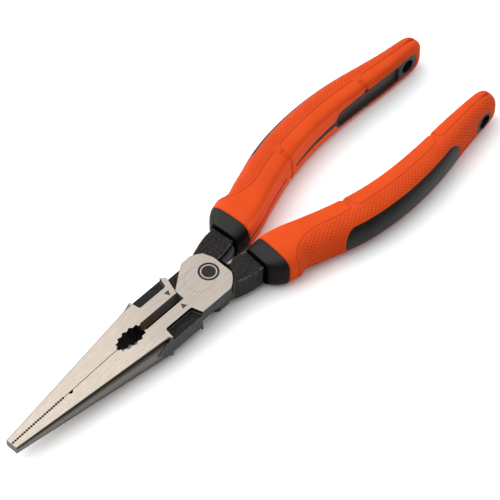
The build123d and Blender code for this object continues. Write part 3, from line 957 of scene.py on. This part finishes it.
    def finished(self):
        """The material, with its masks and tones joined up."""
        face = self.face()
        round_side = self.round_side()
        ground = self.math("MAXIMUM", self.math("MAXIMUM", face, self.rivet_seat()), round_side)
        spot = self.spot(face)
        forged = self.cutter_tone(self.forged_tone())
        tone = self.mix(ground, forged, self.ground_tone(round_side))
        shine = self.ramp(self.fine_brush, *GROUND_ROUGHNESS)
        dull = self.ramp(self.skin, *FORGED_ROUGHNESS)
        self.shade(
            Base_Color=self.mix(spot, tone, SPOT_TONE),
            Metallic=self.blend(self.product(ground, self.rest(spot)), FORGED_METALLIC, 1.0),
            Roughness=self.blend(ground, dull, shine),
            Normal=self.blend_vectors(ground, self.forged_normal(), self.ground_normal()),
            Specular_IOR_Level=STEEL_SPECULAR,
        )
        return self.owner


def dress(node, material):
    """Gives a CAD node its finished material."""
    piece = frame["nodes"][node]
    for held in piece.material_slots:
        held.material = material
    if not piece.material_slots:
        piece.data.materials.append(material)


# ---------------------------------------------------------------- studio

FLOOR_SIZE = 6.0
PAPER_FIBRES = (0.05, 3.0)
PAPER_TONES = ((0.96, 0.96, 0.96), (0.98, 0.98, 0.98))
PAPER_ROUGHNESS = 0.85
PAPER_SPECULAR = 0.1
BOUNCE_CANCEL_TINT = (0.88, 0.95, 0.96)  # a cool tint painted between and behind the handles, against the pink light bounced off the grips
BOUNCE_CANCEL_ALONG = (5.0, 40.0)  # in mm from the pivot
BOUNCE_CANCEL_ACROSS = (-26.0, -6.0, 0.25, 1.0)
SKY_RISE = (0.0, 0.7, 0.55, 1.45)  # the sky is brighter overhead
DIM_SIDE = (-0.72, -0.69, 0.0)  # the studio is darker on this side
DIM_FADE = (-0.2, 0.8, 1.0, 0.25)
KEY_PLACE = (-0.5, 0.55, 0.9)
KEY_SIZE = 1.6
KEY_POWER = 17.0
CAMERA_ELEVATION = 53.9  # in degrees
CAMERA_AZIMUTH = -46.3
CAMERA_DISTANCE = 1.2
CAMERA_AIM = (23.55, -1.3, 0.0)  # in mm from the pivot
CAMERA_SENSOR = 36.0  # in mm, as the lens
CAMERA_LENS = 251.2
CAMERA_CLIP = (0.05, 20.0)


def make_key_light():
    light = bpy.data.lights.new("key", "AREA")
    light.shape = "RECTANGLE"
    light.size = KEY_SIZE
    light.size_y = KEY_SIZE
    light.energy = KEY_POWER
    lamp = bpy.data.objects.new("key", light)
    lamp.location = KEY_PLACE
    lamp.rotation_euler = (-Vector(KEY_PLACE)).to_track_quat("-Z", "Y").to_euler()
    bpy.context.scene.collection.objects.link(lamp)


def make_floor():
    bpy.ops.mesh.primitive_plane_add(size=FLOOR_SIZE)
    floor = bpy.context.object
    floor.name = "floor"
    net = Net(bpy.data.materials.new("floor_paper"))
    paper = net.mix(net.noise(net.place(), *PAPER_FIBRES), *PAPER_TONES)
    along, across, _ = net.split(net.place())
    # A cool tint painted between and behind the handles, against the pink bounce light from the grips
    between = net.product(net.ramp(along, *BOUNCE_CANCEL_ALONG), net.ramp(across, *BOUNCE_CANCEL_ACROSS))
    paper = net.mix(between, paper, BOUNCE_CANCEL_TINT)
    net.shade(Base_Color=paper, Roughness=PAPER_ROUGHNESS, Specular_IOR_Level=PAPER_SPECULAR)
    floor.data.materials.append(net.owner)


def make_world():
    """A white studio, brighter overhead and darker on one side."""
    world = bpy.data.worlds.new("studio")
    net = Net(world)
    sky = net.tree.nodes["Background"]
    way = net.node("ShaderNodeTexCoord").outputs["Generated"]
    sideways = net.node("ShaderNodeVectorMath", operation="DOT_PRODUCT")
    net.feed(sideways.inputs[0], way)
    net.feed(sideways.inputs[1], DIM_SIDE)
    overhead = net.ramp(net.split(way)[2], *SKY_RISE)
    dim = net.ramp(sideways.outputs["Value"], *DIM_FADE)
    net.feed(sky.inputs["Color"], (1.0, 1.0, 1.0))
    net.feed(sky.inputs["Strength"], net.product(overhead, dim))
    bpy.context.scene.world = world


def make_camera():
    elevation = math.radians(CAMERA_ELEVATION)
    azimuth = math.radians(CAMERA_AZIMUTH)
    level = math.cos(elevation)
    back = Vector((math.sin(azimuth) * level, -math.cos(azimuth) * level, math.sin(elevation)))
    camera = bpy.data.cameras.new("camera")
    camera.sensor_width = CAMERA_SENSOR
    camera.lens = CAMERA_LENS
    camera.clip_start, camera.clip_end = CAMERA_CLIP
    holder = bpy.data.objects.new("camera", camera)
    holder.location = PIVOT + Vector(CAMERA_AIM) * MM + back * CAMERA_DISTANCE
    holder.rotation_euler = (-back).to_track_quat("-Z", "Y").to_euler()
    bpy.context.scene.collection.objects.link(holder)
    bpy.context.scene.camera = holder


def main():
    cover_a = make_cover()
    core_a = make_core()
    drill(cover_a, TETHER_LINING - COVER_HOLE_MARGIN)
    drill(core_a, TETHER_BORE)
    cover_b = turned_over(cover_a, "grip_sleeve_b")
    core_b = turned_over(core_a, "grip_spine_b")
    soft = soft_grip_material()
    hard = hard_grip_material()
    for piece, node, body, material, slot in (
        (cover_a, "grip_cover_a", "half_a", soft, "soft_grip"),
        (cover_b, "grip_cover_b", "half_b", soft, "soft_grip"),
        (core_a, "grip_core_a", "half_a", hard, "hard_grip"),
        (core_b, "grip_core_b", "half_b", hard, "hard_grip"),
    ):
        piece.data.materials.clear()
        piece.data.materials.append(material)
        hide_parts(node)
        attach(piece, body)
    steel = SteelNet().finished()
    for node in ("jaw_half_a", "jaw_half_b", "pivot_rivet"):
        dress(node, steel)
    make_floor()
    make_world()
    make_camera()
    make_key_light()
    bpy.context.scene.view_settings.view_transform = "Standard"


main()
